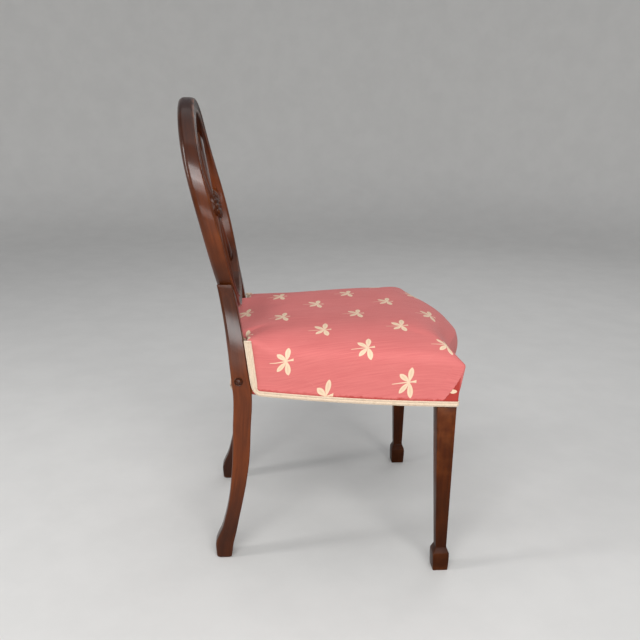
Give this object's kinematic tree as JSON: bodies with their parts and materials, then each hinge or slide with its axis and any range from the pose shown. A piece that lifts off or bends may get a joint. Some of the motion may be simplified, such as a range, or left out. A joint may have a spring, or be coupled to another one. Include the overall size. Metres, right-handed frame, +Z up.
{
  "type": "wheel back dining chair",
  "caption": "Dining chair with a round spoked hoop back on raked back legs, square tapered front legs on spade feet and a stuffed serpentine seat edged with braid.",
  "frame": {"origin": "on the floor under the middle of the chair's box", "axes": "+Z up, -Y the way the chair faces, +X towards the sitter's left"},
  "size_m": [0.5662, 0.6058, 0.955],
  "materials": {
    "mahogany": "french polished, glossy",
    "beech": "plain, sawn",
    "screw_steel": "bright turned",
    "jute": "coarse plain weave",
    "hair_stuffing": "curled hair",
    "seat_cloth": "ribbed woven cloth, coral red with cream scattered figures",
    "braid": "woven gimp braid",
    "under_cloth": "black cambric"
  },
  "bodies": {
    "root": {"front_leg_right": "mahogany", "front_leg_left": "mahogany", "back_leg_right": "mahogany", "back_leg_left": "mahogany", "front_rail": "mahogany", "back_rail": "mahogany", "side_rail_right": "mahogany", "side_rail_left": "mahogany", "hoop_crest": "mahogany", "hoop_side_right": "mahogany", "hoop_side_left": "mahogany", "hoop_base": "mahogany", "hub": "mahogany", "patera": "mahogany", "spoke_1": "mahogany", "spoke_2": "mahogany", "spoke_3": "mahogany", "spoke_4": "mahogany", "spoke_5": "mahogany", "spoke_6": "mahogany", "spoke_7": "mahogany", "spoke_8": "mahogany", "leg_plug_right": "mahogany", "leg_plug_left": "mahogany", "corner_block_front_right": "beech", "corner_block_front_left": "beech", "corner_block_back_right": "beech", "corner_block_back_left": "beech", "hoop_dowel_1": "beech", "hoop_dowel_2": "beech", "hoop_dowel_3": "beech", "hoop_dowel_4": "beech", "stile_dowel_right": "beech", "stile_dowel_left": "beech", "rail_screw_right": "screw_steel", "rail_screw_left": "screw_steel", "web_long_1": "jute", "web_long_2": "jute", "web_long_3": "jute", "web_cross_1": "jute", "web_cross_2": "jute", "web_cross_3": "jute", "hessian": "jute", "stuffing": "hair_stuffing", "seat_cover": "seat_cloth", "gimp_front": "braid", "gimp_back": "braid", "dust_cover": "under_cloth"}
  },
  "joints": []
}
